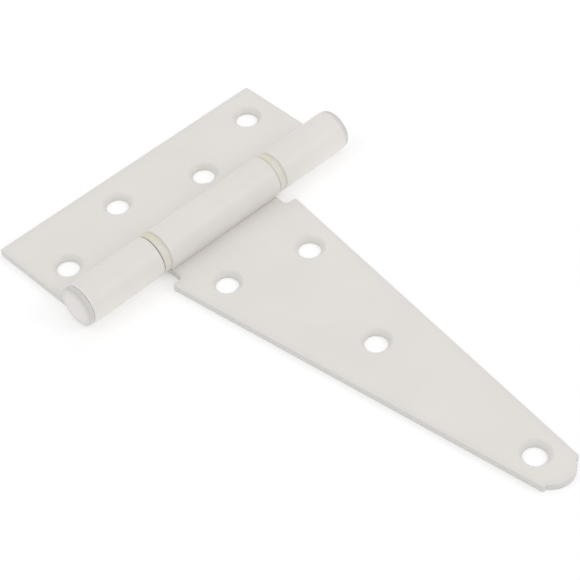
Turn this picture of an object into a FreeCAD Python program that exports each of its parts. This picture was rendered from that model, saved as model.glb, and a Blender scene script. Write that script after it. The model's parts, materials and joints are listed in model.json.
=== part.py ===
import FreeCAD, Part
import math
import os

import Sketcher

# A tee hinge that lies open and flat: a butt leaf, a strap leaf, the pin that joins them, a cap on
# each end of the pin and a thrust washer on each side of the centre knuckle.
# X runs from the pin towards the strap's tip, Y along the pin and Z up, away from the mounting plane.
# The origin is on the mounting plane, under the middle of the pin. Lengths are in millimetres.

# The driving dimensions, each with what it measures.
SIZES = (
    ("sheet_thickness", 2.4, "both leaves are cut from one gauge of sheet"),
    ("barrel_diameter", 14.3, "outside of the rolled knuckles"),
    ("seam_gap", 0.35, "between a curl's rolled end and its own plate"),
    ("butt_height", 110.0, "butt leaf, along the pin"),
    ("butt_reach", 41.6, "from the pin's axis to the butt leaf's far edge"),
    ("strap_reach", 150.0, "from the pin's axis to the strap's tip"),
    ("neck_width", 46.1, "strap, where it leaves its knuckle"),
    ("shoulder_reach", 10.8, "from the pin's axis to the strap's shoulders"),
    ("shoulder_width", 54.4, "strap, at its widest"),
    ("notch_radius", 1.4, "inner corner between neck and shoulder"),
    ("cusp_reach", 146.5, "from the pin's axis to the end of the tapered edges"),
    ("cusp_width", 16.0, "strap, at the end of the tapered edges"),
    ("nose_radius", 7.9, "rounded tip"),
    ("strap_slide", 0.2, "how far the strap stands along the pin"),
    ("knuckle_length", 47.45, "centre knuckle"),
    ("knuckle_offset", 0.825, "from the butt leaf's middle to the centre knuckle's"),
    ("washer_thickness", 3.0, "thrust washer"),
    ("washer_diameter", 14.2, "thrust washer"),
    ("washer_bore", 9.6, "thrust washer"),
    ("washer_edge", 0.3, "rounding of a thrust washer's rims"),
    ("left_gap", 0.35, "end float between the butt leaf and the first washer"),
    ("right_gap", 0.1, "end float between the centre knuckle and the second washer"),
    ("closed_gap", 0.025, "the side of a washer that is pushed up to a knuckle"),
    ("opening_clearance", 0.9, "from the centre knuckle to the butt leaf's cut-out"),
    ("opening_corner", 1.5, "inner corners of the butt leaf's cut-out"),
    ("hole_diameter", 7.4, "screw holes"),
    ("countersink_diameter", 10.4, "screw holes, at the face"),
    ("countersink_angle", 90.0, "full angle of the countersinks, in degrees"),
    ("butt_hole_pitch", 29.5, "screw holes of the butt leaf, along the pin"),
    ("butt_inner_row", 20.25, "from the pin's axis to the butt leaf's nearer holes"),
    ("butt_outer_row", 30.25, "from the pin's axis to the butt leaf's further holes"),
    ("strap_side_hole", 14.4, "from the strap's middle to its first two holes"),
    ("strap_first_hole", 22.3, "from the pin's axis to the strap's first hole"),
    ("strap_second_hole", 30.3, "from the pin's axis to the strap's second hole"),
    ("strap_third_hole", 73.6, "from the pin's axis to the strap's third hole"),
    ("strap_fourth_hole", 136.7, "from the pin's axis to the strap's fourth hole"),
    ("pin_clearance", 0.05, "between the pin and the knuckles, on the radius"),
    ("spigot_diameter", 6.0, "ends of the pin, inside the caps"),
    ("spigot_length", 1.2, "ends of the pin, inside the caps"),
    ("spigot_clearance", 0.05, "between a spigot and its cap"),
    ("cap_diameter", 13.8, "pin caps"),
    ("cap_height", 2.3, "pin caps, from the back to the middle of the crown"),
    ("cap_edge", 0.9, "rounding between a cap's side and its crown"),
    ("crown_radius", 45.0, "the shallow dome of a cap"),
    ("cap_gap", 0.1, "between a cap and the knuckle beside it"),
)
SIZE = {name: value for name, value, note in SIZES}

BARREL_RADIUS = SIZE["barrel_diameter"] / 2
BORE_RADIUS = BARREL_RADIUS - SIZE["sheet_thickness"]

# The same two radii as formulas on the sheet.
BARREL_RADIUS_FORMULA = "sizes.barrel_diameter / 2"
BORE_RADIUS_FORMULA = "sizes.barrel_diameter / 2 - sizes.sheet_thickness"

# Positions on a piece of sketch geometry, and the sketch's own axes.
START, END, CENTRE = 1, 2, 3
ORIGIN = (-1, START)
X_AXIS, Y_AXIS = -1, -2

doc = FreeCAD.newDocument("tee_hinge")


def make_sheet():
    """Puts the driving dimensions in a spreadsheet, one row each: name, value and note."""
    sheet = doc.addObject("Spreadsheet::Sheet", "sizes")
    for row, (name, value, note) in enumerate(SIZES, start=1):
        sheet.set(f"A{row}", name)
        sheet.set(f"B{row}", str(value))
        sheet.setAlias(f"B{row}", name)
        sheet.set(f"C{row}", note)
    doc.recompute()


def new_body(name):
    body = doc.addObject("PartDesign::Body", name)
    body.Label = name
    return body


def origin_feature(body, role):
    return next(f for f in body.Origin.OriginFeatures if f.Role == role)


def new_sketch(body, name, plane, lift=None):
    """A sketch on one of its body's origin planes, lifted off it by a formula."""
    sketch = body.newObject("Sketcher::SketchObject", name)
    sketch.AttachmentSupport = [(origin_feature(body, plane), "")]
    sketch.MapMode = "FlatFace"
    if lift:
        sketch.setExpression("AttachmentOffset.Base.z", lift)
    return sketch


def point(x, y):
    return FreeCAD.Vector(x, y, 0)


def line(sketch, start, end):
    return sketch.addGeometry(Part.LineSegment(point(*start), point(*end)), False)


def arc(sketch, centre, radius, start_angle, end_angle):
    """An arc that turns anticlockwise between two angles, in radians."""
    circle = Part.Circle(point(*centre), FreeCAD.Vector(0, 0, 1), radius)
    return sketch.addGeometry(Part.ArcOfCircle(circle, start_angle, end_angle), False)


def rule(sketch, kind, *where):
    sketch.addConstraint(Sketcher.Constraint(kind, *where))


def dimension(sketch, name, kind, where, value, formula):
    """A named dimension, drawn at its value and bound to its formula on the sheet."""
    index = sketch.addConstraint(Sketcher.Constraint(kind, *where, value))
    sketch.renameConstraint(index, name)
    sketch.setExpression(f"Constraints.{name}", formula)


def chain(sketch, ends):
    """Joins pieces end to end: each entry is (piece, end, next piece, its end)."""
    for link in ends:
        rule(sketch, "Coincident", *link)


def pad(body, name, sketch, formula, symmetric=False):
    feature = body.newObject("PartDesign::Pad", name)
    feature.Profile = sketch
    feature.SideType = "Symmetric" if symmetric else "One side"
    feature.setExpression("Length", formula)
    return feature


def curl(sketch, side):
    """The rolled end of a leaf in section. The plate leaves towards side, +1 or -1 along X.

    Returns the pieces for the outer and inner arcs and which of their ends lies under the axis.
    """
    centre = (0, BARREL_RADIUS)
    tip_rise = SIZE["sheet_thickness"] + SIZE["seam_gap"]
    tip_angle = math.asin((tip_rise - BARREL_RADIUS) / BARREL_RADIUS)
    below = -math.pi / 2
    if side > 0:
        turn = (tip_angle, 2 * math.pi + below)
        tip, root = START, END
    else:
        turn = (below, math.pi - tip_angle)
        tip, root = END, START
    outer = arc(sketch, centre, BARREL_RADIUS, *turn)
    inner = arc(sketch, centre, BORE_RADIUS, *turn)
    tip_point = (side * math.cos(tip_angle), math.sin(tip_angle))
    rolled_end = line(
        sketch,
        (BORE_RADIUS * tip_point[0], BARREL_RADIUS + BORE_RADIUS * tip_point[1]),
        (BARREL_RADIUS * tip_point[0], BARREL_RADIUS + BARREL_RADIUS * tip_point[1]),
    )
    rule(sketch, "PointOnObject", outer, CENTRE, Y_AXIS)
    rule(sketch, "Coincident", inner, CENTRE, outer, CENTRE)
    rule(sketch, "PointOnObject", outer, root, Y_AXIS)
    rule(sketch, "PointOnObject", inner, root, Y_AXIS)
    chain(sketch, [(rolled_end, START, inner, tip), (rolled_end, END, outer, tip)])
    rule(sketch, "PointOnObject", outer, CENTRE, rolled_end)
    dimension(sketch, "axis_height", "DistanceY", (*ORIGIN, outer, CENTRE),
              BARREL_RADIUS, BARREL_RADIUS_FORMULA)
    dimension(sketch, "outer_radius", "Radius", (outer,), BARREL_RADIUS, BARREL_RADIUS_FORMULA)
    dimension(sketch, "inner_radius", "Radius", (inner,), BORE_RADIUS, BORE_RADIUS_FORMULA)
    dimension(sketch, "tip_rise", "DistanceY", (*ORIGIN, outer, tip),
              tip_rise, "sizes.sheet_thickness + sizes.seam_gap")
    return outer, inner, root


def screw_holes(body, places):
    """Countersunk screw holes, through the plate from its upper face.

    Each place is ((x, its formula), (y, its formula)) in the body's own frame.
    """
    sketch = new_sketch(body, "hole_centres", "XY_Plane", lift="sizes.sheet_thickness")
    radius = SIZE["hole_diameter"] / 2
    for number, ((x, x_formula), (y, y_formula)) in enumerate(places, start=1):
        circle = Part.Circle(point(x, y), FreeCAD.Vector(0, 0, 1), radius)
        hole = sketch.addGeometry(circle, False)
        dimension(sketch, f"hole_{number}", "Diameter", (hole,),
                  SIZE["hole_diameter"], "sizes.hole_diameter")
        place(sketch, f"hole_{number}_x", "DistanceX", hole, x, x_formula)
        place(sketch, f"hole_{number}_y", "DistanceY", hole, y, y_formula)
    doc.recompute()
    holes = body.newObject("PartDesign::Hole", "screw_holes")
    holes.Profile = sketch
    holes.DepthType = "ThroughAll"
    holes.setExpression("Diameter", "sizes.hole_diameter")
    holes.HoleCutType = "Countersink"
    holes.HoleCutCustomValues = True
    holes.setExpression("HoleCutDiameter", "sizes.countersink_diameter")
    holes.setExpression("HoleCutCountersinkAngle", "sizes.countersink_angle")
    return holes


def place(sketch, name, kind, circle, value, formula):
    """Sets how far a circle's centre is from the origin along one axis, on value's side of it."""
    if value == 0:
        rule(sketch, "PointOnObject", circle, CENTRE, Y_AXIS if kind == "DistanceX" else X_AXIS)
    elif value > 0:
        dimension(sketch, name, kind, (*ORIGIN, circle, CENTRE), value, formula)
    else:
        dimension(sketch, name, kind, (circle, CENTRE, *ORIGIN), -value, formula)


def make_butt_leaf():
    body = new_body("butt_leaf")
    reach, thickness = SIZE["butt_reach"], SIZE["sheet_thickness"]

    section = new_sketch(body, "section", "XZ_Plane")
    outer, inner, root = curl(section, side=-1)
    underside = line(section, (0, 0), (-reach, 0))
    far_edge = line(section, (-reach, 0), (-reach, thickness))
    face = line(section, (-reach, thickness), (0, thickness))
    chain(section, [
        (outer, root, underside, START),
        (underside, END, far_edge, START),
        (far_edge, END, face, START),
        (face, END, inner, root),
    ])
    rule(section, "Horizontal", underside)
    rule(section, "Vertical", far_edge)
    rule(section, "Horizontal", face)
    dimension(section, "reach", "DistanceX", (underside, END, underside, START),
              reach, "sizes.butt_reach")
    pad(body, "rolled_sheet", section, "sizes.butt_height", symmetric=True)

    opening = cut_out_sketch(body)
    pocket = body.newObject("PartDesign::Pocket", "knuckle_opening")
    pocket.Profile = opening
    pocket.Type = "ThroughAll"
    pocket.SideType = "Symmetric"

    rows = ("butt_inner_row", "butt_outer_row")
    steps = (-1.5, -0.5, 0.5, 1.5)
    screw_holes(body, [
        (
            (-SIZE[rows[n % 2]], f"sizes.{rows[n % 2]}"),
            (step * SIZE["butt_hole_pitch"], f"{abs(step)} * sizes.butt_hole_pitch"),
        )
        for n, step in enumerate(steps)
    ])
    return body


def cut_out_sketch(body):
    """The opening in the butt leaf that takes the centre knuckle and both washers."""
    sketch = new_sketch(body, "opening", "XY_Plane")
    corner = SIZE["opening_corner"]
    reach = SIZE["knuckle_length"] / 2 + SIZE["washer_thickness"] + SIZE["closed_gap"]
    low = SIZE["knuckle_offset"] - reach - SIZE["left_gap"]
    high = SIZE["knuckle_offset"] + reach + SIZE["right_gap"]
    near = BARREL_RADIUS + SIZE["opening_clearance"]
    mouth = line(sketch, (near, low), (near, high))
    high_side = line(sketch, (near, high), (corner - near, high))
    high_corner = arc(sketch, (corner - near, high - corner), corner, math.pi / 2, math.pi)
    back = line(sketch, (-near, high - corner), (-near, low + corner))
    low_corner = arc(sketch, (corner - near, low + corner), corner, math.pi, 1.5 * math.pi)
    low_side = line(sketch, (corner - near, low), (near, low))
    chain(sketch, [(mouth, END, high_side, START), (low_side, END, mouth, START)])
    rule(sketch, "Tangent", high_side, END, high_corner, START)
    rule(sketch, "Tangent", high_corner, END, back, START)
    rule(sketch, "Tangent", back, END, low_corner, START)
    rule(sketch, "Tangent", low_corner, END, low_side, START)
    rule(sketch, "Vertical", mouth)
    rule(sketch, "Horizontal", high_side)
    rule(sketch, "Vertical", back)
    rule(sketch, "Horizontal", low_side)
    rule(sketch, "Equal", high_corner, low_corner)
    near_formula = f"{BARREL_RADIUS_FORMULA} + sizes.opening_clearance"
    reach_formula = "sizes.knuckle_length / 2 + sizes.washer_thickness + sizes.closed_gap"
    dimension(sketch, "corner_radius", "Radius", (high_corner,), corner, "sizes.opening_corner")
    dimension(sketch, "back_reach", "DistanceX", (back, START, *ORIGIN), near, near_formula)
    dimension(sketch, "mouth_reach", "DistanceX", (*ORIGIN, mouth, START), near, near_formula)
    dimension(sketch, "high_reach", "DistanceY", (*ORIGIN, mouth, END),
              high, f"{reach_formula} + sizes.right_gap + sizes.knuckle_offset")
    dimension(sketch, "low_reach", "DistanceY", (mouth, START, *ORIGIN),
              -low, f"{reach_formula} + sizes.left_gap - sizes.knuckle_offset")
    return sketch


def make_strap_leaf():
    body = new_body("strap_leaf")
    body.setExpression("Placement.Base.y", "sizes.strap_slide")
    half = pad(body, "half_plate", half_strap_sketch(body), "sizes.sheet_thickness")

    other_half = body.newObject("PartDesign::Mirrored", "whole_plate")
    other_half.Originals = [half]
    other_half.MirrorPlane = (origin_feature(body, "XZ_Plane"), [""])
    body.Tip = other_half

    # An XZ sketch faces -Y, so the offset along +Y is a negative lift.
    section = new_sketch(body, "curl_section", "XZ_Plane",
                         lift="sizes.strap_slide - sizes.knuckle_offset")
    outer, inner, root = curl(section, side=1)
    plate_edge = line(section, (0, 0), (0, SIZE["sheet_thickness"]))
    chain(section, [(outer, root, plate_edge, START), (plate_edge, END, inner, root)])
    pad(body, "knuckle", section, "sizes.knuckle_length", symmetric=True)

    side, side_formula = SIZE["strap_side_hole"], "sizes.strap_side_hole"
    screw_holes(body, [
        ((SIZE["strap_first_hole"], "sizes.strap_first_hole"), (-side, side_formula)),
        ((SIZE["strap_second_hole"], "sizes.strap_second_hole"), (side, side_formula)),
        ((SIZE["strap_third_hole"], "sizes.strap_third_hole"), (0, "")),
        ((SIZE["strap_fourth_hole"], "sizes.strap_fourth_hole"), (0, "")),
    ])
    return body


def half_strap_sketch(body):
    """Half of the strap's outline, from its root by the knuckle to its rounded nose."""
    sketch = new_sketch(body, "half_outline", "XY_Plane")
    neck, shoulder, cusp = (SIZE[n] / 2 for n in ("neck_width", "shoulder_width", "cusp_width"))
    shoulder_x, cusp_x, tip_x = (
        SIZE[n] for n in ("shoulder_reach", "cusp_reach", "strap_reach")
    )
    notch, nose = SIZE["notch_radius"], SIZE["nose_radius"]
    nose_x = tip_x - nose
    nose_angle = math.acos((cusp_x - nose_x) / nose)
    nose_y = nose * math.sin(nose_angle)
    root = line(sketch, (0, 0), (0, neck))
    neck_edge = line(sketch, (0, neck), (shoulder_x - notch, neck))
    notch_arc = arc(sketch, (shoulder_x - notch, neck + notch), notch, -math.pi / 2, 0)
    shoulder_edge = line(sketch, (shoulder_x, neck + notch), (shoulder_x, shoulder))
    taper = line(sketch, (shoulder_x, shoulder), (cusp_x, cusp))
    step = line(sketch, (cusp_x, cusp), (cusp_x, nose_y))
    nose_arc = arc(sketch, (nose_x, 0), nose, 0, nose_angle)
    middle = line(sketch, (tip_x, 0), (0, 0))
    chain(sketch, [
        (root, END, neck_edge, START),
        (shoulder_edge, END, taper, START),
        (taper, END, step, START),
        (step, END, nose_arc, END),
        (nose_arc, START, middle, START),
        (middle, END, root, START),
        (root, START, *ORIGIN),
    ])
    rule(sketch, "Tangent", neck_edge, END, notch_arc, START)
    rule(sketch, "Tangent", notch_arc, END, shoulder_edge, START)
    rule(sketch, "Vertical", root)
    rule(sketch, "Horizontal", neck_edge)
    rule(sketch, "Vertical", shoulder_edge)
    rule(sketch, "Vertical", step)
    rule(sketch, "Horizontal", middle)
    rule(sketch, "PointOnObject", nose_arc, CENTRE, X_AXIS)
    dimension(sketch, "half_neck", "DistanceY", (root, START, root, END),
              neck, "sizes.neck_width / 2")
    dimension(sketch, "notch_radius", "Radius", (notch_arc,), notch, "sizes.notch_radius")
    dimension(sketch, "shoulder_reach", "DistanceX", (*ORIGIN, shoulder_edge, END),
              shoulder_x, "sizes.shoulder_reach")
    dimension(sketch, "half_shoulder", "DistanceY", (*ORIGIN, shoulder_edge, END),
              shoulder, "sizes.shoulder_width / 2")
    dimension(sketch, "cusp_reach", "DistanceX", (*ORIGIN, taper, END), cusp_x, "sizes.cusp_reach")
    dimension(sketch, "half_cusp", "DistanceY", (*ORIGIN, taper, END), cusp, "sizes.cusp_width / 2")
    dimension(sketch, "nose_radius", "Radius", (nose_arc,), nose, "sizes.nose_radius")
    dimension(sketch, "strap_reach", "DistanceX", (*ORIGIN, nose_arc, START),
              tip_x, "sizes.strap_reach")
    return sketch


def disc_sketch(body, name, plane, *circles):
    """Circles about the body's own axis, each (dimension name, diameter, formula)."""
    sketch = new_sketch(body, name, plane)
    for label, diameter, formula in circles:
        circle = Part.Circle(point(0, 0), FreeCAD.Vector(0, 0, 1), diameter / 2)
        index = sketch.addGeometry(circle, False)
        rule(sketch, "Coincident", index, CENTRE, *ORIGIN)
        dimension(sketch, label, "Diameter", (index,), diameter, formula)
    return sketch


def make_hinge_pin():
    """A plain shank as long as the butt leaf, with a spigot at each end for its cap."""
    body = new_body("hinge_pin")
    body.setExpression("Placement.Base.z", BARREL_RADIUS_FORMULA)
    shank_diameter = 2 * (BORE_RADIUS - SIZE["pin_clearance"])
    shank = disc_sketch(body, "shank_section", "XZ_Plane", (
        "shank", shank_diameter, f"2 * ({BORE_RADIUS_FORMULA} - sizes.pin_clearance)"))
    pad(body, "shank", shank, "sizes.butt_height", symmetric=True)
    spigot = disc_sketch(body, "spigot_section", "XZ_Plane", (
        "spigot", SIZE["spigot_diameter"], "sizes.spigot_diameter"))
    pad(body, "spigots", spigot, "sizes.butt_height + 2 * sizes.spigot_length", symmetric=True)
    return body


def make_thrust_washer(name, end):
    """The washer at one end of the centre knuckle: end is -1 or +1 along the pin.

    The strap's end float is drawn on the lower side of both washers' gaps, so the first washer
    is pushed up to the centre knuckle and the second to the butt leaf's outer knuckle.
    """
    body = new_body(name)
    gap = "sizes.closed_gap" if end < 0 else "sizes.right_gap"
    body.setExpression("Placement.Base.z", BARREL_RADIUS_FORMULA)
    body.setExpression(
        "Placement.Base.y",
        f"sizes.knuckle_offset + {end} * "
        f"((sizes.knuckle_length + sizes.washer_thickness) / 2 + {gap})",
    )
    ring = disc_sketch(
        body, "ring", "XZ_Plane",
        ("outside", SIZE["washer_diameter"], "sizes.washer_diameter"),
        ("bore", SIZE["washer_bore"], "sizes.washer_bore"),
    )
    blank = pad(body, "blank", ring, "sizes.washer_thickness", symmetric=True)
    doc.recompute()
    rims = [
        f"Edge{number}"
        for number, edge in enumerate(blank.Shape.Edges, start=1)
        if isinstance(edge.Curve, Part.Circle)
        and abs(edge.Curve.Radius - SIZE["washer_diameter"] / 2) < 1e-6
    ]
    rounded = body.newObject("PartDesign::Fillet", "rounded_rims")
    rounded.Base = (blank, rims)
    rounded.setExpression("Radius", "sizes.washer_edge")
    return body


def make_pin_cap(name, end):
    """A domed cap on one end of the pin: end is -1 or +1 along the pin."""
    body = new_body(name)
    if end < 0:
        body.Placement.Rotation = FreeCAD.Rotation(FreeCAD.Vector(0, 0, 1), 180)
    body.setExpression("Placement.Base.z", BARREL_RADIUS_FORMULA)
    body.setExpression("Placement.Base.y", f"{end} * (sizes.butt_height / 2 + sizes.cap_gap)")

    radius, height = SIZE["cap_diameter"] / 2, SIZE["cap_height"]
    edge, crown = SIZE["cap_edge"], SIZE["crown_radius"]
    socket = SIZE["spigot_diameter"] / 2 + SIZE["spigot_clearance"]
    depth = SIZE["spigot_length"]
    # The crown and the rounded edge meet on the line through both of their centres.
    crown_y = height - crown
    lean = math.asin((radius - edge) / (crown - edge))
    edge_y = crown_y + (crown - edge) * math.cos(lean)
    meet = (crown * math.sin(lean), crown_y + crown * math.cos(lean))

    sketch = new_sketch(body, "half_section", "XY_Plane")
    floor = line(sketch, (0, depth), (socket, depth))
    wall = line(sketch, (socket, depth), (socket, 0))
    back = line(sketch, (socket, 0), (radius, 0))
    side = line(sketch, (radius, 0), (radius, edge_y))
    rounding = arc(sketch, (radius - edge, edge_y), edge, 0, math.pi / 2 - lean)
    dome = arc(sketch, (0, crown_y), crown, math.pi / 2 - lean, math.pi / 2)
    middle = line(sketch, (0, height), (0, depth))
    chain(sketch, [
        (floor, END, wall, START),
        (wall, END, back, START),
        (back, END, side, START),
        (dome, END, middle, START),
        (middle, END, floor, START),
    ])
    rule(sketch, "Tangent", side, END, rounding, START)
    rule(sketch, "Tangent", rounding, END, dome, START)
    rule(sketch, "PointOnObject", floor, START, Y_AXIS)
    rule(sketch, "Horizontal", floor)
    rule(sketch, "Vertical", wall)
    rule(sketch, "Horizontal", back)
    rule(sketch, "PointOnObject", back, START, X_AXIS)
    rule(sketch, "Vertical", side)
    rule(sketch, "PointOnObject", dome, CENTRE, Y_AXIS)
    rule(sketch, "PointOnObject", dome, END, Y_AXIS)
    dimension(sketch, "socket_depth", "DistanceY", (*ORIGIN, floor, START),
              depth, "sizes.spigot_length")
    dimension(sketch, "socket_radius", "DistanceX", (*ORIGIN, wall, END),
              socket, "sizes.spigot_diameter / 2 + sizes.spigot_clearance")
    dimension(sketch, "cap_radius", "DistanceX", (*ORIGIN, back, END),
              radius, "sizes.cap_diameter / 2")
    dimension(sketch, "edge_radius", "Radius", (rounding,), edge, "sizes.cap_edge")
    dimension(sketch, "crown_radius", "Radius", (dome,), crown, "sizes.crown_radius")
    dimension(sketch, "cap_height", "DistanceY", (*ORIGIN, middle, START),
              height, "sizes.cap_height")

    turned = body.newObject("PartDesign::Revolution", "turned_cap")
    turned.Profile = sketch
    turned.ReferenceAxis = (sketch, ["V_Axis"])
    turned.Angle = 360
    return body


def check(bodies):
    """Stops the build if anything failed to recompute or a sub-part isn't one closed solid."""
    for item in doc.Objects:
        if "Invalid" in item.State or "Error" in item.State:
            raise RuntimeError(f"{item.Label} failed: {item.State}")
    for body in bodies:
        shape = body.Shape
        if shape.isNull() or not shape.isValid() or len(shape.Solids) != 1:
            raise RuntimeError(f"{body.Label} is not one valid solid")


def export(bodies):
    os.makedirs("parts", exist_ok=True)
    for body in bodies:
        body.Shape.exportStep(f"parts/{body.Label}.step")
        box = body.Shape.BoundBox
        print(f"{body.Label}: {body.Shape.Volume:.1f} mm3,",
              f"X {box.XMin:.2f} to {box.XMax:.2f}, Y {box.YMin:.2f} to {box.YMax:.2f},",
              f"Z {box.ZMin:.2f} to {box.ZMax:.2f}")


make_sheet()
pieces = [
    make_butt_leaf(),
    make_strap_leaf(),
    make_hinge_pin(),
    make_thrust_washer("thrust_washer_left", end=-1),
    make_thrust_washer("thrust_washer_right", end=1),
    make_pin_cap("pin_cap_left", end=-1),
    make_pin_cap("pin_cap_right", end=1),
]
doc.recompute()
check(pieces)
export(pieces)
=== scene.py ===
"""The finished look of the tee hinge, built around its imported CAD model.

Lengths are millimetres while a mesh is being made, and metres once it is an object.
X runs from the pin to the strap's tip, Y along the pin and Z up, as in the CAD.
"""

import json
import math

import bmesh
import bpy
from mathutils import Matrix, Vector


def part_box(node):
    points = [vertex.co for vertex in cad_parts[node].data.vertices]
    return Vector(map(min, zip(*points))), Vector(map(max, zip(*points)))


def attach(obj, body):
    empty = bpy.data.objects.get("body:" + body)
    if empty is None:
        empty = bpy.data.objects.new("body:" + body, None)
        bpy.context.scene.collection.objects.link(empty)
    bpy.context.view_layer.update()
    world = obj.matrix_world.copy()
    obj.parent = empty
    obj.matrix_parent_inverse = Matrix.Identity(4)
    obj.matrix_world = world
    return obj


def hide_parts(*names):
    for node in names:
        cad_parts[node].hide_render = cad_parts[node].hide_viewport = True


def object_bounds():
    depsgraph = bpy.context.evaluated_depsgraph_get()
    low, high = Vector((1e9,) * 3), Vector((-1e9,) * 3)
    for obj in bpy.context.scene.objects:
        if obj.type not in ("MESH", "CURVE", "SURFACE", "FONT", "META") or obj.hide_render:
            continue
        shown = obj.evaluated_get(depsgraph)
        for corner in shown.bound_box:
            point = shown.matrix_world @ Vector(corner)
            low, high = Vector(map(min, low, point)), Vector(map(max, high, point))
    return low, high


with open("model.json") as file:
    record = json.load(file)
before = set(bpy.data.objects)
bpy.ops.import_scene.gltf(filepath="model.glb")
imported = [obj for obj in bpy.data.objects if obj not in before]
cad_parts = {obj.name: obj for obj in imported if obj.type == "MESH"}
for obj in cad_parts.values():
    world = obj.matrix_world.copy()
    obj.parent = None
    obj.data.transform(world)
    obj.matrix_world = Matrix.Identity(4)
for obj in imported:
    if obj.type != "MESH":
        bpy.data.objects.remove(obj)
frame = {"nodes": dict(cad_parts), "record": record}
cad_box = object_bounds()

MM = 0.001
ENDS = ("left", "right")


def cad_corners(node):
    """The lowest and highest corners of a CAD node, in millimetres."""
    return [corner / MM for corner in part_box(node)]


BUTT_LOW, BUTT_HIGH = cad_corners("butt_leaf")
STRAP_LOW, STRAP_HIGH = cad_corners("strap_leaf")
WASHERS = {end: cad_corners(f"thrust_washer_{end}") for end in ENDS}
CAPS = {end: cad_corners(f"pin_cap_{end}") for end in ENDS}

# The rolled sheet. BARREL is the knuckles' radius, and TONGUE is how far the flat sheet reaches
# beyond the pin's axis. Its tip stays straight, and stops just short of its own plate.
SHEET = 2.4
BARREL = BUTT_HIGH.x
SEAM_GAP = 0.12
CURL_ANGLE = math.radians(287)
CURL = BARREL * CURL_ANGLE
TONGUE = CURL + (BARREL * (1 - math.cos(CURL_ANGLE)) - SHEET - SEAM_GAP) / -math.sin(CURL_ANGLE)
CURL_STEPS = 104

# Rounding that the shear and the coat leave on a cut edge: the width of it on the plates, on the
# ends of the knuckles and on the tip of a tongue, and its depth as a share of its width.
PLATE_EDGE = 0.2
KNUCKLE_EDGE = 0.3
SEAM_EDGE = 0.12
EDGE_SQUASH = 0.85
EDGE_STEPS = 6

# The outlines' corners, and how far in from its edges a plate's faces are darkened with painted
# shade, which stands in for the edge rolling over.
CORNER = 0.75
ARC_STEP = math.radians(9)
EDGE_SHADE = 2.6

# The centre knuckle and the opening that takes it, from the washers' places.
TIGHT_GAP = 0.025
LEFT_GAP = 0.35
RIGHT_GAP = 0.1
KNUCKLE = (WASHERS["left"][1].y + TIGHT_GAP, WASHERS["right"][0].y - RIGHT_GAP)
OPENING = (WASHERS["left"][0].y - LEFT_GAP, WASHERS["right"][1].y + TIGHT_GAP)
OPENING_CLEARANCE = 0.9
OPENING_BACK = -(BARREL + OPENING_CLEARANCE)
OPENING_CORNER = 1.5

# The strap's outline. SEAM_SKEW is how far the tip of its tongue is out of square.
STRAP_MIDDLE = (STRAP_LOW.y + STRAP_HIGH.y) / 2
SEAM_SKEW = 0.08
HALF_NECK = 23.05
NECK_CORNER = 0.3
SHOULDER = 10.8
NOTCH = 1.4
CUSP = 146.5
HALF_CUSP = 8.0
CUSP_CORNER = 0.6
NOSE = 7.9

# Countersunk screw holes: radii, the height of the straight land, and the softened edges of the
# land's lower end, its upper end and the countersink.
HOLE = 3.7
COUNTERSINK = 5.2
LAND = SHEET - (COUNTERSINK - HOLE)
HOLE_LIP = 0.25
HOLE_CREASE = 0.12
HOLE_RIM = 0.32
HOLE_STEPS = 72

# How far large faces outweigh small ones in the shading: 50 is not at all.
NORMAL_WEIGHT = 80


def hole_centres(leaf):
    """The screw holes of a leaf, from the spaces that the record keeps open for their screws."""
    centres = []
    for opening in frame["record"]["physics"]["openings"]:
        if opening["name"].startswith(leaf):
            low, high = (Vector(corner) / MM for corner in opening["box_m"])
            centres.append(((low + high) / 2).xy)
    return centres


def arc(centre, radius, start, end):
    """Points along an arc, both ends included."""
    steps = max(2, math.ceil(abs(end - start) / ARC_STEP))
    return [
        Vector((
            centre[0] + radius * math.cos(start + (end - start) * n / steps),
            centre[1] + radius * math.sin(start + (end - start) * n / steps),
        ))
        for n in range(steps + 1)
    ]


def rounded(corners):
    """A closed outline from (x, y, radius) corners. A corner with no radius stays one point."""
    points = []
    for n, (x, y, radius) in enumerate(corners):
        here = Vector((x, y))
        if not radius:
            points.append(here)
            continue
        before = (Vector(corners[n - 1][:2]) - here).normalized()
        after = (Vector(corners[(n + 1) % len(corners)][:2]) - here).normalized()
        half = before.angle(after) / 2
        centre = here + (before + after).normalized() * radius / math.sin(half)
        first = here + before * radius / math.tan(half) - centre
        last = here + after * radius / math.tan(half) - centre
        start = math.atan2(first.y, first.x)
        turn = -first.angle_signed(last)
        points.extend(arc(centre, radius, start, start + turn))
    return points


def bend_between(start, middle, end, steps):
    """Points of a soft bend from start to end, pulled towards middle."""
    made = []
    for n in range(steps + 1):
        t = n / steps
        weights = ((1 - t) ** 2, 2 * t * (1 - t), t * t)
        made.append(tuple(
            sum(w * p[axis] for w, p in zip(weights, (start, middle, end))) for axis in (0, 1)
        ))
    return made


def inset_outline(points, insets):
    """The outline moved inwards, to the left of its direction of travel."""
    moved = []
    for n, (here, inset) in enumerate(zip(points, insets)):
        before = (here - points[n - 1]).normalized()
        after = (points[(n + 1) % len(points)] - here).normalized()
        left = Vector((-before.y - after.y, before.x + after.x)) / (1 + before.dot(after))
        moved.append(here + left * inset)
    return moved


def tongue(low, high):
    """The corners of a tongue that rolls up into a knuckle, where it runs along +X."""
    return [
        (0, low, 0),
        (CORNER, low, 0),
        (TONGUE, low, CORNER),
        (TONGUE, high, CORNER),
        (CORNER, high, 0),
        (0, high, 0),
    ]


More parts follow.
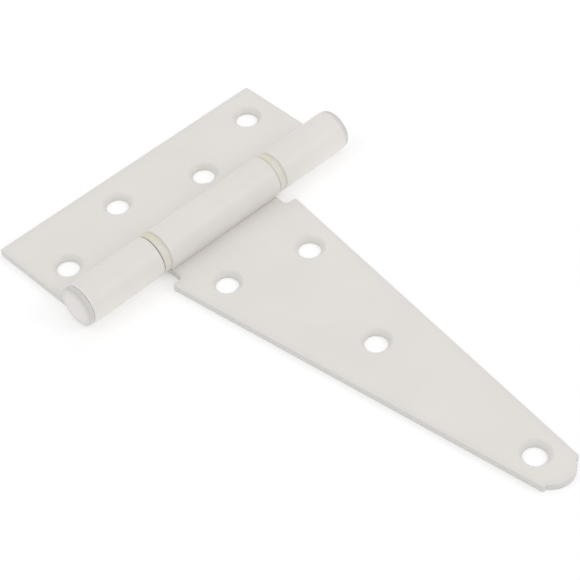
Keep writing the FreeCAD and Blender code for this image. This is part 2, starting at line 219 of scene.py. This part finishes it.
def butt_corners():
    """The butt leaf before rolling: a plate with a tongue for each outer knuckle."""
    low, high = OPENING
    return [
        (BUTT_LOW.x, BUTT_LOW.y, CORNER),
        *tongue(BUTT_LOW.y, low),
        (OPENING_BACK, low, OPENING_CORNER),
        (OPENING_BACK, high, OPENING_CORNER),
        *tongue(high, BUTT_HIGH.y),
        (BUTT_LOW.x, BUTT_HIGH.y, CORNER),
    ]


def strap_corners():
    """The strap before rolling: its tongue, neck, shoulders, tapered edges and rounded nose."""
    nose_x = STRAP_HIGH.x - NOSE
    nose_angle = math.acos((CUSP - nose_x) / NOSE)
    neck = (STRAP_MIDDLE - HALF_NECK, STRAP_MIDDLE + HALF_NECK)
    low_side = [
        (-TONGUE - SEAM_SKEW, KNUCKLE[0], CORNER),
        (-CORNER, KNUCKLE[0], 0),
        (0, KNUCKLE[0], 0),
        (NOTCH, neck[0], 0),
        (SHOULDER, neck[0], NOTCH),
        (SHOULDER, STRAP_LOW.y, CORNER),
        (CUSP, STRAP_MIDDLE - HALF_CUSP, CUSP_CORNER),
        (CUSP, STRAP_MIDDLE - NOSE * math.sin(nose_angle), 0),
    ]
    high_side = [
        (CUSP, STRAP_MIDDLE + NOSE * math.sin(nose_angle), 0),
        (CUSP, STRAP_MIDDLE + HALF_CUSP, CUSP_CORNER),
        (SHOULDER, STRAP_HIGH.y, CORNER),
        (SHOULDER, neck[1], NOTCH),
        (NECK_CORNER, neck[1], NECK_CORNER),
        (NECK_CORNER, KNUCKLE[1], 0),
        (-CORNER, KNUCKLE[1], 0),
        (-TONGUE, KNUCKLE[1], CORNER),
    ]
    nose = arc((nose_x, STRAP_MIDDLE), NOSE, -nose_angle, nose_angle)[1:-1]
    return low_side + [(point.x, point.y, 0) for point in nose] + high_side


def on_knuckle(along):
    """0 on the plate and at the tongue's tip, and 1 along the ends of the knuckle."""
    return min(1, max(0, min(along, TONGUE - along) / CORNER))


def edge_width(along):
    """The width of an edge's rounding, at a distance along the tongue from the pin's axis."""
    narrow = SEAM_EDGE if along > TONGUE / 2 else PLATE_EDGE
    return narrow + (KNUCKLE_EDGE - narrow) * on_knuckle(along)


def edge_ring(mesh, outline, side, turn, top):
    """One ring of the rounding: turn is 0 on the face, and a right angle on the cut side."""
    widths = [edge_width(side * point.x) for point in outline]
    insets = [width * (1 - math.sin(turn)) for width in widths]
    depths = [width * EDGE_SQUASH * (1 - math.cos(turn)) for width in widths]
    moved = inset_outline(outline, insets)
    heights = [SHEET - depth if top else depth for depth in depths]
    return [mesh.verts.new((point.x, point.y, height)) for point, height in zip(moved, heights)]


def skin_between(mesh, lower, upper):
    """A band of four-sided faces between two rings of vertices."""
    for n in range(len(lower)):
        m = (n + 1) % len(lower)
        mesh.faces.new((lower[n], lower[m], upper[m], upper[n]))


def fill(mesh, loops, up):
    """Fills the flat region between loops of vertices."""
    edges = []
    for loop in loops:
        for n in range(len(loop)):
            ends = (loop[n - 1], loop[n])
            edges.append(mesh.edges.get(ends) or mesh.edges.new(ends))
    bmesh.ops.triangle_fill(mesh, edges=edges, use_beauty=True, normal=(0, 0, up))


def hole_profile():
    """(radius, height) from the underside, up the land and the countersink, to the face."""
    bottom = bend_between((HOLE + HOLE_LIP, 0), (HOLE, 0), (HOLE, HOLE_LIP), steps=4)
    step = bend_between(
        (HOLE, LAND - HOLE_CREASE), (HOLE, LAND), (HOLE + HOLE_CREASE, LAND + HOLE_CREASE), steps=3
    )
    top = bend_between(
        (COUNTERSINK - HOLE_RIM, SHEET - HOLE_RIM),
        (COUNTERSINK, SHEET),
        (COUNTERSINK + HOLE_RIM, SHEET),
        steps=6,
    )
    return bottom + step + top


def make_hole(mesh, centre, darker_stretch):
    """The wall of a screw hole, and its lowest and highest rings.

    Its coat is marked as darker on the land, and less and less so up the countersink: partly a
    thinner coat on the cut metal, and partly painted shade.
    """
    circles = []
    for radius, height in hole_profile():
        circle = []
        for n in range(HOLE_STEPS):
            a = -2 * math.pi * n / HOLE_STEPS
            place = (centre.x + radius * math.cos(a), centre.y + radius * math.sin(a), height)
            vert = mesh.verts.new(place)
            vert[darker_stretch] = max(0, 1 - (radius - HOLE) / HOLE_LIP)
            circle.append(vert)
        circles.append(circle)
    for lower, upper in zip(circles, circles[1:]):
        skin_between(mesh, lower, upper)
    return circles[0], circles[-1]


def flat_sheet(corners, holes, side):
    """A bmesh of the leaf before it is rolled, with rounded edges and countersunk holes.

    Its vertices carry two marks that the coat's material reads. One is 1 on the edges of the plate
    and fades out inwards: painted shade there stands in for the edge rolling over. The other is 1
    on the cut sides and the holes' lands, which it darkens, partly for a thinner coat on the cut
    metal and partly as painted shade.
    """
    mesh = bmesh.new()
    # Painted shade for the plate's edges rolling over: 1 on the edges, fading out inwards.
    rolled_edge_shade = mesh.verts.layers.float.new("rolled_edge_shade")
    # Darker cut sides and holes' lands: partly a thinner coat on the cut metal, partly painted
    # shade.
    darker_stretch = mesh.verts.layers.float.new("darker_stretch")
    outline = rounded(corners)
    turns = [math.pi / 2 * n / EDGE_STEPS for n in range(EDGE_STEPS + 1)]

    rings = [edge_ring(mesh, outline, side, turn, False) for turn in turns]
    rings += [edge_ring(mesh, outline, side, turn, True) for turn in reversed(turns)]
    for ring, turn in zip(rings, turns + turns[::-1]):
        for vert in ring:
            vert[rolled_edge_shade] = 1 - on_knuckle(side * vert.co.x)
            vert[darker_stretch] = vert[rolled_edge_shade] * math.sin(turn)
    for lower, upper in zip(rings, rings[1:]):
        skin_between(mesh, lower, upper)

    hole_rings = [make_hole(mesh, centre, darker_stretch) for centre in holes]
    sharp = [Vector(corner[:2]) for corner in corners]
    inner = inset_outline(sharp, [EDGE_SHADE] * len(sharp))
    for face, height, up in ((0, 0, -1), (-1, SHEET, 1)):
        inner_loop = [mesh.verts.new((point.x, point.y, height)) for point in inner]
        fill(mesh, [rings[face], inner_loop], up)
        fill(mesh, [inner_loop, *(pair[face] for pair in hole_rings)], up)
    return mesh


def roll(mesh, side):
    """Rolls the part of the sheet beyond the pin's axis into knuckles: side is +1 or -1."""
    for n in range(1, CURL_STEPS + 1):
        cut = side * CURL * n / CURL_STEPS
        beyond = [v for v in mesh.verts if v.co.x * side > -CORNER]
        faces = {face for v in beyond for face in v.link_faces}
        edges = {edge for face in faces for edge in face.edges}
        verts = {v for face in faces for v in face.verts}
        bmesh.ops.bisect_plane(
            mesh, geom=[*verts, *edges, *faces], dist=1e-5, plane_co=(cut, 0, 0), plane_no=(1, 0, 0)
        )
    for v in mesh.verts:
        along = v.co.x * side
        if along > 0:
            rolled = min(along, CURL)
            straight = along - rolled
            angle = rolled / BARREL
            radius = BARREL - v.co.z
            v.co.x = side * (radius * math.sin(angle) + straight * math.cos(angle))
            v.co.z = BARREL - radius * math.cos(angle) + straight * math.sin(angle)


def finish_piece(name, mesh, body, node, material):
    """Turns a bmesh in millimetres into a smooth piece that rides on a body, for a CAD node."""
    bmesh.ops.recalc_face_normals(mesh, faces=mesh.faces)
    bmesh.ops.scale(mesh, vec=(MM, MM, MM), verts=mesh.verts)
    data = bpy.data.meshes.new(name)
    mesh.to_mesh(data)
    mesh.free()
    data.shade_smooth()
    data.materials.append(material)
    piece = bpy.data.objects.new(name, data)
    bpy.context.scene.collection.objects.link(piece)
    weighted = piece.modifiers.new("flat_faces_stay_flat", "WEIGHTED_NORMAL")
    weighted.mode = "FACE_AREA_WITH_ANGLE"
    weighted.weight = NORMAL_WEIGHT
    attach(piece, body)
    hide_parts(node)


def make_leaf(body, corners, side, material):
    """A rolled leaf, whose tongues point along X to the side given, +1 or -1."""
    mesh = flat_sheet(corners, hole_centres(body), side)
    roll(mesh, side)
    finish_piece(f"{body}_plate", mesh, body, f"{body}_leaf", material)


# Turned pieces.
TURN_STEPS = 128


def turned(profile, marks):
    """A bmesh turned about the pin's axis from a closed loop of (y, radius) points.

    Each point has its own mark, 0 to 1, which the material reads as a darker stretch.
    """
    mesh = bmesh.new()
    layer = mesh.verts.layers.float.new("darker_stretch")
    rings = []
    for (y, radius), mark in zip(profile, marks):
        turns = [2 * math.pi * n / TURN_STEPS for n in range(TURN_STEPS)] if radius > 0 else [0]
        ring = [
            mesh.verts.new((radius * math.sin(a), y, BARREL + radius * math.cos(a))) for a in turns
        ]
        for vert in ring:
            vert[layer] = mark
        rings.append(ring)
    for here, after in zip(rings, rings[1:] + rings[:1]):
        if len(here) == len(after) == 1:
            continue
        for n in range(TURN_STEPS):
            m = (n + 1) % TURN_STEPS
            if len(here) == 1:
                mesh.faces.new((here[0], after[n], after[m]))
            elif len(after) == 1:
                mesh.faces.new((here[n], here[m], after[0]))
            else:
                mesh.faces.new((here[n], here[m], after[m], after[n]))
    return mesh


# Thrust washers. GROOVE_AT is the moulding line's place, as a share of the washer's thickness.
WASHER_RIM = 0.4
WASHER_BORE = 4.8
WASHER_BORE_EDGE = 0.25
GROOVE_AT = 0.78
GROOVE_WIDTH = 0.34
GROOVE_DEPTH = 0.1
GROOVE_STEPS = 8


def washer_profile(low, high, radius):
    """A ring with rounded rims and a shallow moulding line round its outside, and its marks."""
    bore, chamfer = WASHER_BORE, WASHER_BORE_EDGE
    in_rim = radius - WASHER_RIM
    groove_y = low + GROOVE_AT * (high - low)
    rim = bend_between((low, in_rim), (low, radius), (low + WASHER_RIM, radius), steps=6)
    depths = [(1 - math.cos(2 * math.pi * n / GROOVE_STEPS)) / 2 for n in range(GROOVE_STEPS + 1)]
    groove = [
        (groove_y + (n / GROOVE_STEPS - 0.5) * GROOVE_WIDTH, radius - GROOVE_DEPTH * depth)
        for n, depth in enumerate(depths)
    ]
    rest = bend_between((high - WASHER_RIM, radius), (high, radius), (high, in_rim), steps=6)
    rest += bend_between((high, bore + chamfer), (high, bore), (high - chamfer, bore), steps=4)
    rest += bend_between((low + chamfer, bore), (low, bore), (low, bore + chamfer), steps=4)
    return rim + groove + rest, [0] * len(rim) + depths + [0] * len(rest)


def make_washer(end, material):
    """The thrust washer at one end of the centre knuckle."""
    low, high = WASHERS[end]
    mesh = turned(*washer_profile(low.y, high.y, (high.x - low.x) / 2))
    name, body, node = f"washer_ring_{end}", f"washer_{end}", f"thrust_washer_{end}"
    finish_piece(name, mesh, body, node, material)


# Pin caps. CAP_EDGE is the radius of the cap's rounded edge, and CROWN that of its dome.
CAP_EDGE = 0.9
CAP_BACK_EDGE = 0.2
CAP_RIM = 0.25
CAP_STEPS = 10
CROWN = 45.0
SOCKET = 3.05
SOCKET_DEPTH = 1.2

# How much darker the cap is: on the last rings of the dome, on the first ring of the rounded edge
# and how much more at each ring after it, up to 1, and on the side.
DARKER_DOME = [0.1, 0.25, 0.45]
DARKER_EDGE = 0.6
DARKER_EDGE_GAIN = 0.08
DARKER_SIDE = 0.9


def cap_profile(radius, height):
    """(distance from the cap's back, radius) from the middle of the crown to the socket, and marks.

    The cap is darker over its rounded edge and its side, and not on its crown or back edge.
    """
    middle = height - CROWN
    lean = math.asin((radius - CAP_EDGE) / (CROWN - CAP_EDGE))
    edge_y = middle + (CROWN - CAP_EDGE) * math.cos(lean)
    dome = [
        (middle + CROWN * math.cos(a), CROWN * math.sin(a))
        for a in (lean * n / CAP_STEPS for n in range(CAP_STEPS))
    ]
    rounding = [
        (edge_y + CAP_EDGE * math.cos(a), radius - CAP_EDGE + CAP_EDGE * math.sin(a))
        for a in (lean + (math.pi / 2 - lean) * n / CAP_STEPS for n in range(CAP_STEPS + 1))
    ]
    side = [(CAP_BACK_EDGE + CAP_RIM, radius)]
    back = bend_between((CAP_BACK_EDGE, radius), (0, radius), (0, radius - CAP_BACK_EDGE), steps=5)
    socket = [(0, SOCKET), (SOCKET_DEPTH, SOCKET), (SOCKET_DEPTH, 0)]
    darker_marks = [0] * (len(dome) - len(DARKER_DOME)) + DARKER_DOME
    darker_marks += [min(1, DARKER_EDGE + DARKER_EDGE_GAIN * n) for n in range(len(rounding))]
    darker_marks += [DARKER_SIDE] * len(side)
    return dome + rounding + side + back + socket, darker_marks + [0] * (len(back) + len(socket))


def make_cap(end, material):
    """The cap on one end of the pin, with its crown outwards."""
    low, high = CAPS[end]
    outwards = 1 if high.y > 0 else -1
    back = low.y if outwards > 0 else high.y
    profile, marks = cap_profile((high.x - low.x) / 2, high.y - low.y)
    mesh = turned([(back + outwards * y, r) for y, r in profile], marks)
    finish_piece(f"cap_{end}", mesh, "butt", f"pin_cap_{end}", material)


# Materials. Colours are linear, and a shade is a factor of its material's colour.
COAT_COLOUR = (0.845, 0.815, 0.78)
# The plates' cut sides and holes' lands: partly a thinner coat on the cut metal, partly painted
# shade.
SHADED_THIN_EDGE_COLOUR = (0.685, 0.675, 0.65)
CAP_COLOUR = (0.83, 0.795, 0.782)
CAP_EDGE_COLOUR = (0.655, 0.64, 0.61)
NYLON_COLOUR = (0.79, 0.75, 0.69)
OLD_NYLON_COLOUR = (0.78, 0.725, 0.58)
GROOVE_COLOUR = (0.62, 0.54, 0.42)
STEEL_COLOUR = (0.42, 0.41, 0.40)
CLOUD_SHADE = 0.975
SPECK_SHADE = 0.9
# Painted shade near the plates' edges, for the edges rolling over.
ROLLED_EDGE_PAINTED_SHADE = 0.95
GREASE_SHADE = 0.7
BUMP_STRENGTH = 0.5

# The side of the washers that has yellowed, and how far round it comes in, in metres.
YELLOWED_SIDE = (-0.34, 0, 0.94)
YELLOWED = (0.0115, 0.0134)


class Nodes:
    """Adds nodes to one material's tree and links them as they are made."""

    def __init__(self, name):
        self.material = bpy.data.materials.new(name)
        self.material.use_nodes = True
        self.tree = self.material.node_tree
        self.shader = self.tree.nodes["Principled BSDF"]

    def add(self, kind, settings=None, **inputs):
        """A new node. An input is a value or another node's socket, with _ for any space."""
        node = self.tree.nodes.new(kind)
        for key, value in (settings or {}).items():
            setattr(node, key, value)
        for key, value in inputs.items():
            self.join(value, node.inputs[key.replace("_", " ")])
        return node

    def join(self, value, socket):
        if isinstance(value, bpy.types.NodeSocket):
            self.tree.links.new(value, socket)
        else:
            socket.default_value = value

    def surface(self, socket, value):
        """Joins a value to one of the shader's own sockets."""
        self.join(value, self.shader.inputs[socket])

    def place(self):
        """Positions in the piece's own frame, in metres."""
        return self.add("ShaderNodeTexCoord").outputs["Object"]

    def noise(self, scale, detail=3):
        """Noise with about scale lumps to the metre, and detail finer layers on them."""
        return self.add(
            "ShaderNodeTexNoise", Vector=self.place(), Scale=scale, Detail=detail
        ).outputs["Fac"]

    def spread(self, value, low, high, least=0, most=1):
        """Turns the range from low to high into the range from least to most, with soft ends."""
        node = self.add("ShaderNodeMapRange", {"interpolation_type": "SMOOTHSTEP"}, Value=value)
        limits = {"From Min": low, "From Max": high, "To Min": least, "To Max": most}
        for socket, number in limits.items():
            node.inputs[socket].default_value = number
        return node.outputs["Result"]

    def patches(self, scale, detail=3, low=0.3, high=0.7, least=0, most=1):
        """Noise with more contrast: least where it is under low, and most where it is over high."""
        return self.spread(self.noise(scale, detail), low, high, least, most)

    def broken_up(self, mark, **patches):
        """One of the mesh's marks, made uneven by patches."""
        return self.multiply(self.attribute(mark), self.patches(**patches))

    def reach(self, way):
        """How far the surface lies in one direction from the piece's origin."""
        node = self.add("ShaderNodeVectorMath", {"operation": "DOT_PRODUCT"})
        self.join(self.place(), node.inputs[0])
        self.join(way, node.inputs[1])
        return node.outputs["Value"]

    def attribute(self, name):
        return self.add("ShaderNodeAttribute", {"attribute_name": name}).outputs["Fac"]

    def multiply(self, first, second):
        node = self.add("ShaderNodeMath", {"operation": "MULTIPLY"})
        self.join(first, node.inputs[0])
        self.join(second, node.inputs[1])
        return node.outputs["Value"]

    def mix(self, factor, first, second):
        """Goes from the first colour to the second as the factor goes from 0 to 1."""
        node = self.add("ShaderNodeMix", {"data_type": "RGBA"})
        self.join(factor, node.inputs["Factor"])
        for value, socket in ((first, node.inputs[6]), (second, node.inputs[7])):
            self.join((*value, 1) if isinstance(value, tuple) else value, socket)
        return node.outputs[2]

    def bump(self, height, distance, normal=None):
        """A normal roughened by a height, where distance is the height of 1 in metres."""
        node = self.add("ShaderNodeBump", Height=height, Distance=distance, Strength=BUMP_STRENGTH)
        if normal is not None:
            self.join(normal, node.inputs["Normal"])
        return node.outputs["Normal"]


def tinted(colour, factor):
    return tuple(channel * factor for channel in colour)


def coat_material(name, colour, edge_colour):
    """Satin powder coat: a fine orange peel and faint clouding. Painted shade darkens it towards
    the plates' edges, and it is darker on marked stretches, such as the cut sides.
    """
    nodes = Nodes(name)
    clouds = nodes.patches(scale=45, detail=2)
    base = nodes.mix(clouds, colour, tinted(colour, CLOUD_SHADE))
    specks = nodes.patches(scale=5200, detail=2, low=0.66, high=0.8)
    base = nodes.mix(specks, base, tinted(colour, SPECK_SHADE))
    # Painted shade towards the plates' edges, standing in for the edges rolling over.
    near = nodes.broken_up("rolled_edge_shade", scale=90, low=0.2, high=0.8, least=0.7)
    base = nodes.mix(near, base, tinted(colour, ROLLED_EDGE_PAINTED_SHADE))
    # Darker marked stretches: on the plates' cut sides partly a thinner coat, partly painted shade.
    cut = nodes.broken_up("darker_stretch", scale=700, low=0.2, high=0.6, least=0.7)
    nodes.surface("Base Color", nodes.mix(cut, base, edge_colour))
    nodes.surface("Roughness", nodes.patches(scale=320, least=0.36, most=0.47))
    peel = nodes.bump(nodes.noise(scale=900, detail=2), distance=0.00006)
    grain = nodes.bump(nodes.noise(scale=4200, detail=2), distance=0.00001, normal=peel)
    nodes.surface("Normal", grain)
    nodes.surface("Specular IOR Level", 0.45)
    return nodes.material


def nylon_material():
    """Moulded cream nylon, a little waxy, yellowed on its upper side and darker along its groove.
    """
    nodes = Nodes("cream_nylon_ring")
    top_side = nodes.spread(nodes.reach(YELLOWED_SIDE), *YELLOWED)
    yellowing = nodes.multiply(top_side, nodes.patches(scale=160, least=0.6))
    base = nodes.mix(yellowing, NYLON_COLOUR, OLD_NYLON_COLOUR)
    darker_groove = nodes.broken_up("darker_stretch", scale=300, high=0.6)
    nodes.surface("Base Color", nodes.mix(darker_groove, base, GROOVE_COLOUR))
    nodes.surface("Roughness", nodes.patches(scale=500, least=0.42, most=0.55))
    nodes.surface("Normal", nodes.bump(nodes.noise(scale=1500), distance=0.00003))
    return nodes.material


def steel_material():
    """Drawn steel with a film of grease."""
    nodes = Nodes("drawn_steel")
    film = nodes.patches(scale=260, detail=4)
    nodes.surface("Base Color", nodes.mix(film, STEEL_COLOUR, tinted(STEEL_COLOUR, GREASE_SHADE)))
    nodes.surface("Roughness", nodes.patches(scale=400, least=0.25, most=0.45))
    nodes.surface("Normal", nodes.bump(nodes.noise(scale=2500, detail=2), distance=0.00001))
    nodes.surface("Metallic", 1.0)
    return nodes.material


# The studio: a paper floor, soft boxes, and a sky that is brighter overhead than at the horizon.
# Lengths are metres here.
FLOOR_HALF = 6.0
FLOOR_DROP = 0.00002
FLOOR_GLOW = 0.26
PAPER_COLOUR = (0.86, 0.86, 0.86)
PAPER_SHADE_COLOUR = (0.85, 0.85, 0.85)
HORIZON = 0.65
ZENITH = 0.78
LAMP_DISTANCE = 1.2

# Name, azimuth and elevation in degrees, width, depth, and power in watts.
LAMPS = (
    ("far_side_box", 126, 39, 0.5, 0.5, 1.7),
    ("back_box", 212, 35, 0.8, 0.5, 0.8),
    ("near_end_box", 335, 50, 0.6, 0.6, 1.2),
)


def floor_material():
    """White paper that glows a little, so that the shadow on it stays faint."""
    nodes = Nodes("white_paper")
    shade = nodes.patches(scale=12, detail=2)
    nodes.surface("Base Color", nodes.mix(shade, PAPER_COLOUR, PAPER_SHADE_COLOUR))
    nodes.surface("Roughness", 0.95)
    nodes.surface("Emission Color", (1, 1, 1, 1))
    nodes.surface("Emission Strength", FLOOR_GLOW)
    nodes.surface("Specular IOR Level", 0.1)
    return nodes.material


def make_floor():
    mesh = bmesh.new()
    bmesh.ops.create_grid(mesh, x_segments=1, y_segments=1, size=FLOOR_HALF)
    data = bpy.data.meshes.new("floor")
    mesh.to_mesh(data)
    mesh.free()
    data.materials.append(floor_material())
    floor = bpy.data.objects.new("floor", data)
    floor.location.z = cad_box[0].z - FLOOR_DROP
    bpy.context.scene.collection.objects.link(floor)


# The camera stands off the strap's side of the near end, looking down at the hinge. Its lens is in
# millimetres, and the rest in metres.
AZIMUTH = math.radians(48.04)
ELEVATION = math.radians(46.53)
ROLL = math.radians(-3.44)
DISTANCE = 0.5778
TARGET = Vector((0.03776, -0.0016, 0))
LENS = 113.75
NEAREST = 0.01


def direction(azimuth, elevation):
    """A unit vector from the hinge: azimuth 0 is along -Y and turns towards +X."""
    return Vector((
        math.sin(azimuth) * math.cos(elevation),
        -math.cos(azimuth) * math.cos(elevation),
        math.sin(elevation),
    ))


def make_camera():
    back = direction(AZIMUTH, ELEVATION)
    right = Vector((math.cos(AZIMUTH), math.sin(AZIMUTH), 0))
    level = Matrix((right, back.cross(right), back)).transposed()
    tilted = level @ Matrix.Rotation(ROLL, 3, "Z")
    camera = bpy.data.objects.new("camera", bpy.data.cameras.new("camera"))
    camera.data.lens = LENS
    camera.data.clip_start = NEAREST
    camera.matrix_world = Matrix.LocRotScale(TARGET + back * DISTANCE, tilted, None)
    bpy.context.scene.collection.objects.link(camera)
    bpy.context.scene.camera = camera


def make_lamp(name, azimuth, elevation, width, depth, power):
    """A soft box that faces the hinge."""
    lamp = bpy.data.objects.new(name, bpy.data.lights.new(name, "AREA"))
    lamp.data.shape = "RECTANGLE"
    lamp.data.size = width
    lamp.data.size_y = depth
    lamp.data.energy = power
    away = direction(math.radians(azimuth), math.radians(elevation))
    lamp.location = TARGET + away * LAMP_DISTANCE
    lamp.rotation_euler = away.to_track_quat("Z", "Y").to_euler()
    bpy.context.scene.collection.objects.link(lamp)


def make_sky():
    world = bpy.data.worlds.new("white_tent")
    world.use_nodes = True
    tree = world.node_tree
    sky = tree.nodes["Background"]
    place = tree.nodes.new("ShaderNodeTexCoord")
    axes = tree.nodes.new("ShaderNodeSeparateXYZ")
    rise = tree.nodes.new("ShaderNodeMapRange")
    rise.inputs["To Min"].default_value = HORIZON
    rise.inputs["To Max"].default_value = ZENITH
    tree.links.new(place.outputs["Generated"], axes.inputs["Vector"])
    tree.links.new(axes.outputs["Z"], rise.inputs["Value"])
    tree.links.new(rise.outputs["Result"], sky.inputs["Strength"])
    sky.inputs["Color"].default_value = (1, 1, 1, 1)
    bpy.context.scene.world = world


leaf_coat = coat_material("white_powder_coat", COAT_COLOUR, SHADED_THIN_EDGE_COLOUR)
cap_coat = coat_material("white_cap_coat", CAP_COLOUR, CAP_EDGE_COLOUR)
nylon = nylon_material()

make_leaf("butt", butt_corners(), 1, leaf_coat)
make_leaf("strap", strap_corners(), -1, leaf_coat)
for end in ENDS:
    make_washer(end, nylon)
    make_cap(end, cap_coat)

pin = frame["nodes"]["hinge_pin"]
pin.data.materials.clear()
pin.data.materials.append(steel_material())

make_floor()
make_camera()
make_sky()
for lamp in LAMPS:
    make_lamp(*lamp)
bpy.context.scene.view_settings.view_transform = "Standard"
